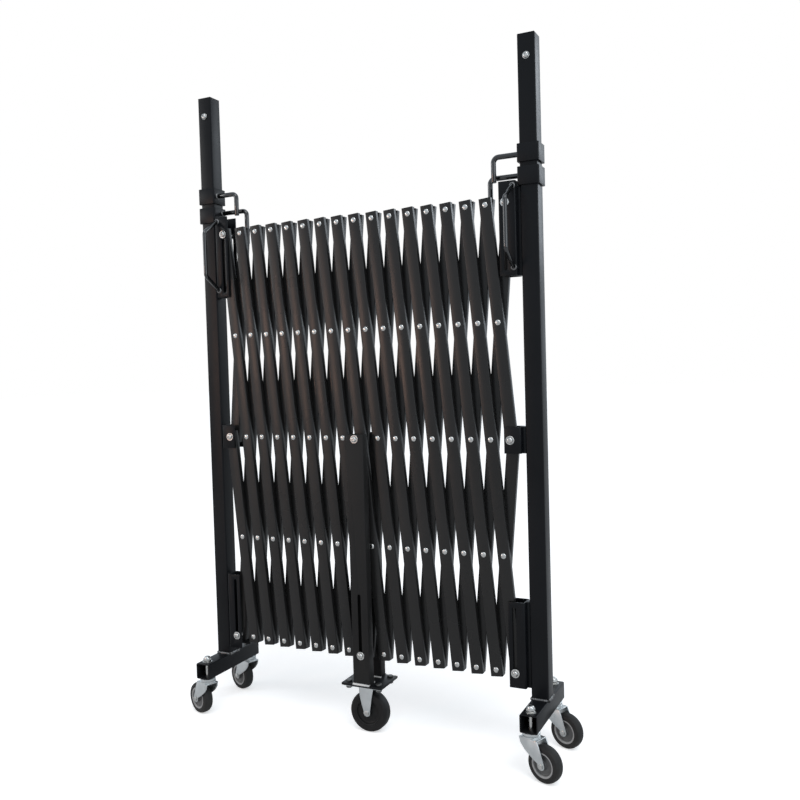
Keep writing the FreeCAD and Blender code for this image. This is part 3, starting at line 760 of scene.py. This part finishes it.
@dataclass(frozen=True)
class CasterStem:
    """The stem of an end caster through the beam, with its washer and domed nut."""

    DOME = ((0, 0), (0.0086, 0), (0.0082, 0.0026), (0.0066, 0.0050), (0.0036, 0.0064), (0, 0.0068))

    radius: float = 0.006
    below: float = 0.0183
    collar: Span = (0.009, 0.0035)
    washer: Span = (0.0125, 0.0012)
    nut: Span = (0.0105, 0.0080)
    nut_edge: float = 0.0008
    dome_sink: float = 0.0002
    sides: int = 24

    def build(self, x: float, y: float, beam: Span) -> list[Mesh]:
        """The stem's solids at a place, through a beam between two heights."""
        (washer, thickness), (nut, nut_height) = self.washer, self.nut
        top = shift(x, y, beam[1])
        seat = top @ shift(0, 0, thickness)
        tip = seat @ shift(0, 0, nut_height - self.dome_sink)
        foot = shift(x, y, beam[0] - self.below)
        return [
            placed(turned([(0, 0), (washer, 0), (washer, thickness), (0, thickness)]), top),
            placed(prism(nut, nut_height, HEXAGON, self.nut_edge), seat),
            placed(turned(self.DOME, self.sides), tip),
            placed(prism(*self.collar, self.sides, EDGE), foot),
            placed(prism(self.radius, beam[1] - beam[0] + self.below, self.sides), foot),
        ]


@dataclass(frozen=True)
class Hook:
    """A link hook.

    lift is the height of its sleeve above the lowest sleeve, rise the rod's height on the sleeve, reach the
    rod's distance from the post's middle, drop the length of its end that hangs down, and y its Y.
    """

    lift: float
    rise: float
    reach: float
    drop: float
    y: float


@dataclass
class EndFrame:
    """A post with its foot beam, brackets, handle and link hooks."""

    WALLS = (-0.030, 0.010)
    INSIDE = (-0.027, 0.007)
    STRIP = (-0.018, 0.0)
    HOOKS = (Hook(0.0, 0.028, 0.100, 0.086, 0.013), Hook(0.050, 0.020, 0.084, 0.056, -0.008))

    side: Side
    bolt: Bolt = Bolt()

    # Post and beam, both of the same square tube
    half: float = 0.020
    tube_corner: float = 0.003
    post_top: float = 1.615
    cap: float = 0.003
    cap_inset: float = 0.0004
    cap_edge: float = 0.0012
    top_bolt: Bolt = Bolt(washer=0.008)
    top_bolt_drop: float = 0.049
    bead: float = 0.0036
    bead_waves: int = 9
    bead_lift: float = 0.0002
    beam: Span = (0.102, 0.142)
    beam_half: float = 0.110
    beam_wall: float = 0.0025
    stem: CasterStem = CasterStem()
    stem_inset: float = 0.020

    # Brackets, with their mouth and back measured outward from the end bolts
    mouth: float = -0.014
    back: float = 0.025
    wall: float = 0.003
    fold: float = 0.004
    fold_steps: int = 5
    strip_sink: float = 0.0005
    rise: float = 0.046
    drop: float = 0.033
    past_slot: float = 0.016
    middle_half: float = 0.030

    # Handle and hooks
    handle_out: float = 0.018
    handle_standoff: float = 0.052
    handle_drop: float = 0.006
    handle_height: float = 0.189
    handle_slope: float = 0.034
    handle_collar: Corner = (0.0072, 0.0066, 0.0054)
    rod: float = 0.005
    bend: float = 0.012
    sleeve_rise: float = 0.035
    sleeve_gap: float = 0.0003
    sleeve_half: float = 0.025
    sleeve_height: float = 0.040
    sleeve_corner: float = 0.004
    sleeve_play: float = 0.00035
    hook_rod: float = 0.006
    hook_end: float = 0.0012
    hook_end_angle: float = 80.0
    hook_collar: Corner = (0.0084, 0.0077, 0.0064)

    @property
    def word(self) -> str:
        """The end's name as it stands in the CAD nodes."""
        return self.side.word

    @property
    def body(self) -> str:
        """The CAD body of the post."""
        return f"{self.word}_end"

    @property
    def post_x(self) -> float:
        """X of the post's middle."""
        return self.side.value * POST_X

    def at(self, out: float) -> float:
        """X at a distance outward from the end bolts."""
        return self.side.value * (END_BOLT_X + out)

    def post(self) -> None:
        """The square post with its cap, top bolt and foot weld."""
        x, half, inner, foot = self.post_x, self.half, self.half - self.cap_inset, self.beam[1]
        under_cap = self.post_top - self.cap
        tube = bar((x - half, -half, foot), (x + half, half, under_cap), ALONG_Z, self.tube_corner)
        cap = block((x - inner, -inner, under_cap - self.cap_inset), (x + inner, inner, self.post_top),
                    self.cap_edge)
        publish(f"{self.word}_post_tube", joined([tube, cap]), Finishes.COAT, self.body, f"{self.word}_post")
        face = shift(x, -half, self.post_top - self.top_bolt_drop) @ TO_FRONT
        publish(f"{self.word}_post_top_bolt", joined(self.top_bolt.outside(face)), Finishes.BRIGHT, self.body)
        reach, z = half - WELD_SINK, foot + self.bead_lift
        corners = [(x + i * reach, j * reach, z) for i, j in ((-1, -1), (1, -1), (1, 1), (-1, 1))]
        sides = zip(corners, corners[1:] + corners[:1])
        beads = [weld_bead(start, end, self.bead, self.bead_waves) for start, end in sides]
        publish(f"{self.word}_post_weld", joined(beads), Finishes.WELD, self.body, smooth=WELD_SMOOTH)

    def foot(self) -> None:
        """The open foot beam, and the caster stems through it with their domed nuts."""
        x, half, length, (low, high) = self.post_x, self.half, self.beam_half, self.beam
        inner, past, wall = half - self.beam_wall, length + CUT_PAST, self.beam_wall
        tube = bar((x - half, -length, low), (x + half, length, high), ALONG_Y, self.tube_corner)
        hollow = block((x - inner, -past, low + wall), (x + inner, past, high - wall))
        tube = carved(tube, [hollow])
        round_edges(tube, EDGE)
        publish(f"{self.word}_beam_tube", tube, Finishes.COAT, self.body, f"{self.word}_beam")
        y = length - self.stem_inset
        stems = [*self.stem.build(x, -y, self.beam), *self.stem.build(x, y, self.beam)]
        publish(f"{self.word}_stem_nuts", joined(stems), Finishes.BRIGHT, self.body,
                f"{self.word}_caster_stems")

    def channel(self, ends: Span, slot: Optional[Span], strip_top: float) -> Mesh:
        """A folded bracket, open to the lattice.

        Args:
            ends: heights of its lower and upper ends.
            slot: heights of the bolt at the slot's two ends, or None for a bracket without a slot.
            strip_top: upper end of the strip that joins it to the post.

        Returns:
            The bracket.
        """
        low, high = ends
        back = self.at(self.back)
        bm = block((self.at(self.mouth), self.WALLS[0], low), (back, self.WALLS[1], high))
        folds = [e for e in edges_along(bm, ALONG_Z) if abs(e.verts[0].co.x - back) < MERGE_DISTANCE]
        bevel(bm, folds, self.fold, self.fold_steps)
        tools = [block((self.at(self.mouth - CUT_PAST), self.INSIDE[0], low - CUT_PAST),
                       (self.at(self.back - self.wall), self.INSIDE[1], high + CUT_PAST))]
        if slot:
            tools.append(slot_tool(self.at(0), slot, self.WALLS))
        bm = carved(bm, tools)
        round_edges(bm, FINE_EDGE)
        strip = block((self.at(self.back - self.strip_sink), self.STRIP[0], low),
                      (self.at(POST_FROM_BOLT - self.half), self.STRIP[1], strip_top), EDGE, 2)
        return joined([bm, strip])

    def brackets(self) -> None:
        """The three brackets and the pivot bolt of the middle row."""
        top, middle, bottom = row_height(0), row_height(MIDDLE_ROW), row_height(ROWS - 1)
        upper = (top - SLIDE_TRAVEL - self.past_slot, top + self.rise)
        centre = (middle - self.middle_half, middle + self.middle_half)
        lower = (bottom - self.drop, bottom + SLIDE_TRAVEL + self.past_slot)
        under_sleeve = top + self.sleeve_rise - self.sleeve_gap
        parts = [
            self.channel(upper, (top - SLIDE_TRAVEL, top + SLOT_PLAY), under_sleeve),
            self.channel(centre, None, centre[1]),
            self.channel(lower, (bottom - SLOT_PLAY, bottom + SLIDE_TRAVEL), lower[1]),
        ]
        publish(f"{self.word}_bracket_channels", joined(parts), Finishes.COAT, self.body,
                f"{self.word}_brackets")
        bolt = self.bolt.build(self.at(0), middle, self.WALLS, (FRONT_FACE, BACK_FACE), self.INSIDE)
        publish(f"{self.word}_pivot_bolt", bolt, Finishes.BRIGHT, self.body)

    def handle(self) -> None:
        """The bent rod handle on the upper bracket, welded at both feet."""
        x, face = self.at(self.handle_out), self.WALLS[0]
        root, grip = face + WELD_SINK, face - self.handle_standoff
        top = row_height(0) + self.rise - self.handle_drop - self.rod
        bottom = top - self.handle_height + 2 * self.rod
        corners = [(x, root, top), (x, grip, top - self.handle_slope),
                   (x, grip, bottom + self.handle_slope), (x, root, bottom)]
        publish(f"{self.word}_handle_rod", bent_rod(corners, self.bend, self.rod), Finishes.ROD, self.body,
                f"{self.word}_handle")
        welds = [placed(weld_collar(*self.handle_collar), shift(x, face, z) @ TO_FRONT)
                 for z in (top, bottom)]
        publish(f"{self.word}_handle_welds", joined(welds), Finishes.WELD, self.body, smooth=WELD_SMOOTH)

    def sleeve(self, bottom: float) -> Mesh:
        """A square sleeve on the post, from a height upward."""
        x, half, hole = self.post_x, self.sleeve_half, self.half + self.sleeve_play
        top = bottom + self.sleeve_height
        bm = bar((x - half, -half, bottom), (x + half, half, top), ALONG_Z, self.sleeve_corner)
        core = block((x - hole, -hole, bottom - CUT_PAST), (x + hole, hole, top + CUT_PAST))
        bm = carved(bm, [core])
        round_edges(bm, EDGE)
        return bm

    def hooks(self) -> None:
        """The sleeves on the post, each with a bent hook."""
        sign = self.side.value
        body, sleeves, rods, welds = f"{self.word}_hooks", [], [], []
        inward = Matrix.Rotation(math.radians(-90 * sign), 4, "Y")
        face = self.post_x - sign * self.sleeve_half
        for hook in self.HOOKS:
            bottom = row_height(0) + self.sleeve_rise + hook.lift
            tip, z = self.post_x - sign * hook.reach, bottom + hook.rise
            rod = bent_rod([(face + sign * WELD_SINK, hook.y, z), (tip, hook.y, z),
                            (tip, hook.y, z - hook.drop)], self.bend, self.hook_rod)
            round_edges(rod, self.hook_end, angle=self.hook_end_angle)
            sleeves.append(self.sleeve(bottom))
            rods.append(rod)
            welds.append(placed(weld_collar(*self.hook_collar), shift(face, hook.y, z) @ inward))
        publish(f"{self.word}_hook_sleeves", joined(sleeves), Finishes.COAT, body, f"{self.word}_link_hooks")
        publish(f"{self.word}_hook_rods", joined(rods), Finishes.ROD, body)
        publish(f"{self.word}_hook_welds", joined(welds), Finishes.WELD, body, smooth=WELD_SMOOTH)

    def build(self) -> None:
        """Build the whole end."""
        self.post()
        self.foot()
        self.brackets()
        self.handle()
        self.hooks()


@dataclass
class MiddleLeg:
    """The slotted leg in the middle, with its caster plate and bolts."""

    WALLS = (-0.053, 0.033)
    INSIDE = (-0.028, 0.008)
    TUBES = ((WALLS[0], INSIDE[0]), (INSIDE[1], WALLS[1]))

    half: float = 0.0225
    low: float = 0.128
    head: float = 0.011
    corner: float = 0.0025
    wall: float = 0.002
    bead: float = 0.0030
    bead_waves: int = 10
    plate_low: float = 0.122
    plate_half: Span = (0.055, 0.045)
    plate_edge: float = 0.0009
    screw_at: Span = (0.041, 0.031)
    bolt: Bolt = Bolt()

    def tube(self, near: float, far: float) -> Mesh:
        """One slotted tube of the leg, between two Y."""
        top, bottom = row_height(MIDDLE_ROW) + self.head, row_height(ROWS - 1)
        inner, wall = self.half - self.wall, self.wall
        bm = bar((-self.half, near, self.low), (self.half, far, top), ALONG_Z, self.corner)
        core = block((-inner, near + wall, self.low - CUT_PAST), (inner, far - wall, top + CUT_PAST))
        slot = slot_tool(0, (bottom - SLOT_PLAY, bottom + SLIDE_TRAVEL), (near, far))
        bm = carved(bm, [core, slot])
        round_edges(bm, FINE_EDGE)
        return bm

    def screws(self) -> Mesh:
        """The heads of the plate's screws and their nuts under the caster's flange."""
        nuts_at = self.plate_low - Caster.sheet - self.bolt.nut_height
        parts = []
        for i, j in ((-1, -1), (-1, 1), (1, -1), (1, 1)):
            x, y = i * self.screw_at[0], LATTICE_Y + j * self.screw_at[1]
            for z, height in ((self.low, self.bolt.head_height), (nuts_at, self.bolt.nut_height)):
                hexagon = prism(self.bolt.nut, height, HEXAGON, EDGE)
                parts.append(placed(hexagon, shift(x, y, z)))
        return joined(parts)

    def build(self) -> None:
        """Build the leg."""
        tubes = [self.tube(near, far) for near, far in self.TUBES]
        publish("middle_leg_tubes", joined(tubes), Finishes.LEG, "base", "middle_leg")
        x, y = self.plate_half
        sheet = block((-x, LATTICE_Y - y, self.plate_low), (x, LATTICE_Y + y, self.low), self.plate_edge, 2)
        publish("middle_leg_plate", sheet, Finishes.COAT, "base", "caster_plate")
        beads = [weld_bead((-self.half, y, self.low), (self.half, y, self.low), self.bead, self.bead_waves)
                 for faces in self.TUBES for y in faces]
        publish("middle_leg_weld", joined(beads), Finishes.BARE_WELD, "base", smooth=WELD_SMOOTH)
        pivot = self.bolt.build(0, row_height(MIDDLE_ROW), self.WALLS, (FRONT_FACE, BACK_FACE), self.INSIDE)
        publish("middle_leg_pivot_bolt", pivot, Finishes.BRIGHT, "base", "leg_bolts")
        publish("middle_plate_screws", self.screws(), Finishes.DULL, "base")


@dataclass
class Caster:
    """A caster: pressed fork, axle bolt and wheel, about its own swivel axis.

    trail is the axle's distance from that axis, crown the height of the fork's top and reach its range of X.
    hub is the radius of a hub of its own colour, and race_top the top of a bearing race, where there is one.
    """

    # Fork outline, as shares of the way to the foot and of the way down to the axle
    FRONT = (0.45, 0.38)
    REAR = ((0.62, 0.72), (0.30, 0.50), (0.08, 0.26))
    FOOT_ARC = (20, -220)
    FOOT_STEPS = 12

    # Bearing race, as radii and shares of its height
    RACE = ((0.0065, 0), (0.0200, 0), (0.0200, 0.30), (0.0182, 0.38), (0.0182, 0.46), (0.0196, 0.54),
            (0.0196, 0.86), (0.0178, 1), (0.0065, 1), (0.0065, 0))

    # Wheel profiles, each point with its depth under the wheel's side; shares are of the wheel or of its rim
    SHOULDER = ((0.84, 0), (0.93, 0.0012), (0.975, 0.0040), (1, 0.0085))
    BOSS = ((0.0041, 0), (0.0095, 0), (0.0105, 0.004))
    DISH = ((0.70, 0.005), (0.74, 0.0042), (0.86, 0.0042))
    RIM = ((0.84, 0.0046), (0.86, 0.0012), (0.90, 0.0002), (1, 0.0004), (1, 0.0046))
    PLAIN_RIM = 0.7
    TYRE_STEPS, HUB_STEPS, RACE_STEPS = 72, 56, 40

    label: str
    fork_body: str
    wheel_body: str
    place: Matrix
    radius: float
    width: float
    trail: float
    crown: float
    reach: Span
    hub: Optional[float] = None
    race_top: Optional[float] = None
    flange: Optional[Span] = None
    sheet: float = 0.0025
    side_gap: float = 0.0025
    foot: float = 0.009
    crown_edge: float = 0.0011
    flange_edge: float = 0.0007
    axle_end: Span = (0.007, 0.003)

    def cheek(self, y: float) -> Mesh:
        """One tapering side of the fork, with a round foot at the axle."""
        fall, (rear, front) = self.crown - self.radius, self.reach
        share, down = self.FRONT
        outline = [(rear, y, self.crown), (front, y, self.crown),
                   (front + share * (self.trail + self.foot - front), y, self.crown - down * fall)]
        start, sweep = self.FOOT_ARC
        for step in range(self.FOOT_STEPS + 1):
            angle = math.radians(start + sweep * step / self.FOOT_STEPS)
            x, z = self.foot * math.cos(angle), self.foot * math.sin(angle)
            outline.append((self.trail + x, y, self.radius + z))
        for share, down in self.REAR:
            outline.append((rear + share * (self.trail - self.foot - rear), y, self.crown - down * fall))
        return plate(outline, (0, self.sheet, 0), FINE_EDGE)

    def fork(self) -> None:
        """The pressed fork with its crown, bearing race or flange, and the axle bolt."""
        inner = self.width / 2 + self.side_gap
        outer = inner + self.sheet
        under = self.crown - self.sheet
        parts = [self.cheek(-outer), self.cheek(inner),
                 block((self.reach[0], -outer, under), (self.reach[1], outer, self.crown), self.crown_edge)]
        if self.flange:
            x, y = self.flange
            parts.append(block((-x, -y, under), (x, y, self.crown), self.flange_edge, 2))
        if self.race_top:
            race = [(radius, share * (self.race_top - self.crown)) for radius, share in self.RACE]
            parts.append(placed(turned(race, self.RACE_STEPS), shift(0, 0, self.crown)))
        publish(f"{self.label}_fork_pressing", placed(joined(parts), self.place), Finishes.FORK,
                self.fork_body, f"{self.label}_fork")
        ends = []
        for turn, y in ((TO_FRONT, -outer), (TO_BACK, outer)):
            at = shift(self.trail, y, self.radius) @ turn
            ends.append(placed(prism(*self.axle_end, HEXAGON, EDGE), at))
        publish(f"{self.label}_axle_bolt", placed(joined(ends), self.place), Finishes.BRIGHT, self.fork_body)

    def wheel(self) -> None:
        """The tyre with rounded shoulders, and the hub and rim inside it."""
        half, rim = self.width / 2, self.hub or self.PLAIN_RIM * self.radius
        rubber = Finishes.TYRE if self.hub else Finishes.SOLID
        tyre = [(rim, half), *((share * self.radius, half - deep) for share, deep in self.SHOULDER)]
        hub = [*((radius, half - deep) for radius, deep in self.BOSS),
               *((share * rim, half - deep) for share, deep in self.DISH)]
        edge = [(share * rim, half - deep) for share, deep in self.RIM]
        axle = self.place @ shift(self.trail, 0, self.radius) @ TO_BACK
        publish(f"{self.label}_tyre", placed(ring(tyre, self.TYRE_STEPS), axle), rubber,
                self.wheel_body, f"{self.label}_wheel")
        publish(f"{self.label}_hub", placed(ring(hub, self.HUB_STEPS), axle),
                Finishes.HUB if self.hub else rubber, self.wheel_body)
        publish(f"{self.label}_rim", placed(ring(edge, self.HUB_STEPS), axle),
                Finishes.RIM if self.hub else rubber, self.wheel_body)

    def build(self) -> None:
        """Build the caster."""
        self.fork()
        self.wheel()


def casters() -> list[Caster]:
    """The fixed caster in the middle and the four swivel casters.

    Returns:
        The casters, ready to build.
    """
    made = [Caster("middle", "base", "middle_roller", shift(0, LATTICE_Y, 0), radius=0.050,
                   width=0.032, trail=0.0, crown=0.122, reach=(-0.021, 0.021), flange=(0.051, 0.041))]
    swivel_y, turns = 0.090, {Side.LEFT: 160, Side.RIGHT: -20}
    for side, degrees in turns.items():
        turn = Matrix.Rotation(math.radians(degrees), 4, "Z")
        for word, way in (("front", -1), ("rear", 1)):
            place = shift(side.value * POST_X, way * swivel_y, 0) @ turn
            label = f"{side.word}_{word}"
            made.append(Caster(label, f"{label}_caster", f"{label}_roller", place, radius=0.040, width=0.025,
                               trail=0.036, crown=0.090, reach=(-0.021, 0.026), hub=0.0275, race_top=0.1017))
    return made


@dataclass(frozen=True)
class Lamp:
    """A rectangular soft light: its place, the point it faces, its size, power in watts and colour."""

    name: str
    at: Corner
    aim: Corner
    size: Span
    power: float
    colour: Colour

    def build(self) -> None:
        """Make the light."""
        data = bpy.data.lights.new(self.name, "AREA")
        data.shape = "RECTANGLE"
        data.size, data.size_y = self.size
        data.energy, data.color = self.power, self.colour
        turn = Studio.facing(Vector(self.aim) - Vector(self.at))
        stood(self.name, data).matrix_world = Matrix.Translation(self.at) @ turn


@dataclass
class Studio:
    """Floor, lights, world and camera."""

    WHITE = (1.0, 1.0, 1.0)
    LAMPS = (
        Lamp("key", (-3.3, -1.9, 1.9), (0, 0, 0.9), (1.2, 1.2), 24.0, (1.0, 0.98, 0.96)),
        Lamp("fill", (3.0, -1.2, 1.5), (0, 0, 0.8), (1.6, 1.6), 20.0, (0.92, 0.96, 1.0)),
        Lamp("warm", (-2.5, -3.5, 1.05), (-0.2, 0, 0.95), (0.6, 0.9), 16.0, (1.0, 0.60, 0.44)),
        Lamp("cool", (1.95, 3.0, 2.2), (-0.4, 0, 1.4), (1.3, 1.3), 20.0, (0.86, 0.93, 1.0)),
    )

    camera_at: Corner = (0.9880, -1.8358, 0.8954)
    yaw: float = 25.82
    pitch: float = -2.20
    roll: float = -1.615
    sensor: float = 36.0
    focal_pixels: float = 850.0
    frame_pixels: float = 800.0
    floor_half: float = 30.0
    floor_colour: Colour = (0.86, 0.86, 0.86)
    floor_roughness: float = 0.9
    floor_glow: float = 0.50
    sky: Colour = (0.84, 0.92, 1.0)
    world_strength: float = 0.45
    daylight_way: Corner = (-0.45, 0.55, -1.0)
    daylight_strength: float = 1.0
    daylight_spread: float = 35.0

    @staticmethod
    def facing(way: Vector) -> Matrix:
        """The turn that points a camera or a light in a direction."""
        return way.to_track_quat("-Z", "Y").to_matrix().to_4x4()

    def camera(self) -> None:
        """The camera at the photograph's viewing angle."""
        data = bpy.data.cameras.new("view")
        data.sensor_width = self.sensor
        data.lens = self.sensor * self.focal_pixels / self.frame_pixels
        camera = stood("view", data)
        yaw, pitch, roll = (math.radians(angle) for angle in (self.yaw, self.pitch, self.roll))
        ahead = Vector((-math.sin(yaw) * math.cos(pitch), math.cos(yaw) * math.cos(pitch), math.sin(pitch)))
        camera.matrix_world = (Matrix.Translation(self.camera_at) @ self.facing(ahead)
                               @ Matrix.Rotation(roll, 4, "Z"))
        bpy.context.scene.camera = camera

    def floor(self) -> None:
        """A wide pale floor, brighter to the camera, that keeps the object's shadow."""
        bm = bmesh.new()
        bmesh.ops.create_grid(bm, x_segments=1, y_segments=1, size=self.floor_half)
        mesh = settled("floor", bm)
        material = bpy.data.materials.new("pale_floor")
        material.use_nodes = True
        nodes = material.node_tree.nodes
        shader = preset(nodes["Principled BSDF"], {
            "Base Color": (*self.floor_colour, 1.0), "Roughness": self.floor_roughness,
            "Specular IOR Level": 0.0, "Emission Color": (*self.WHITE, 1.0)})
        path = nodes.new("ShaderNodeLightPath")
        glow = math_node(nodes, "MULTIPLY")
        glow.inputs[1].default_value = self.floor_glow
        wire(path, "Is Camera Ray", glow, 0)
        wire(glow, "Value", shader, "Emission Strength")
        mesh.materials.append(material)
        stood("floor", mesh)

    def world(self) -> None:
        """White to the camera, a bright pale sky in reflections, and the same sky softer as light."""
        world = bpy.data.worlds.new("studio")
        world.use_nodes = True
        nodes = world.node_tree.nodes
        background = nodes["Background"]
        path = nodes.new("ShaderNodeLightPath")
        seen = math_node(nodes, "MAXIMUM")
        strength = preset(nodes.new("ShaderNodeMapRange"), {"To Min": self.world_strength, "To Max": 1.0})
        wire(path, "Is Camera Ray", seen, 0)
        wire(path, "Is Glossy Ray", seen, 1)
        wire(seen, "Value", strength, "Value")
        wire(strength, "Result", background, "Strength")
        colour = colour_mix(nodes, self.sky, self.WHITE)
        wire(path, "Is Camera Ray", colour, "Factor")
        wire(colour, "Result", background, "Color")
        bpy.context.scene.world = world

    def daylight(self) -> None:
        """A soft even light from above that falls the same all over the floor."""
        data = bpy.data.lights.new("daylight", "SUN")
        data.energy, data.angle = self.daylight_strength, math.radians(self.daylight_spread)
        stood("daylight", data).matrix_world = self.facing(Vector(self.daylight_way))

    def build(self) -> None:
        """Set up the whole studio."""
        self.camera()
        self.floor()
        self.world()
        self.daylight()
        for lamp in self.LAMPS:
            lamp.build()
        bpy.context.scene.view_settings.view_transform = "Standard"


def main() -> None:
    """Build the studio and the barrier."""
    logging.basicConfig(level=logging.INFO)
    for item in list(bpy.data.objects):
        bpy.data.objects.remove(item)
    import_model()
    Studio().build()
    Lattice().build()
    for side in Side:
        EndFrame(side).build()
    MiddleLeg().build()
    for caster in casters():
        caster.build()


if __name__ == "__main__":
    main()
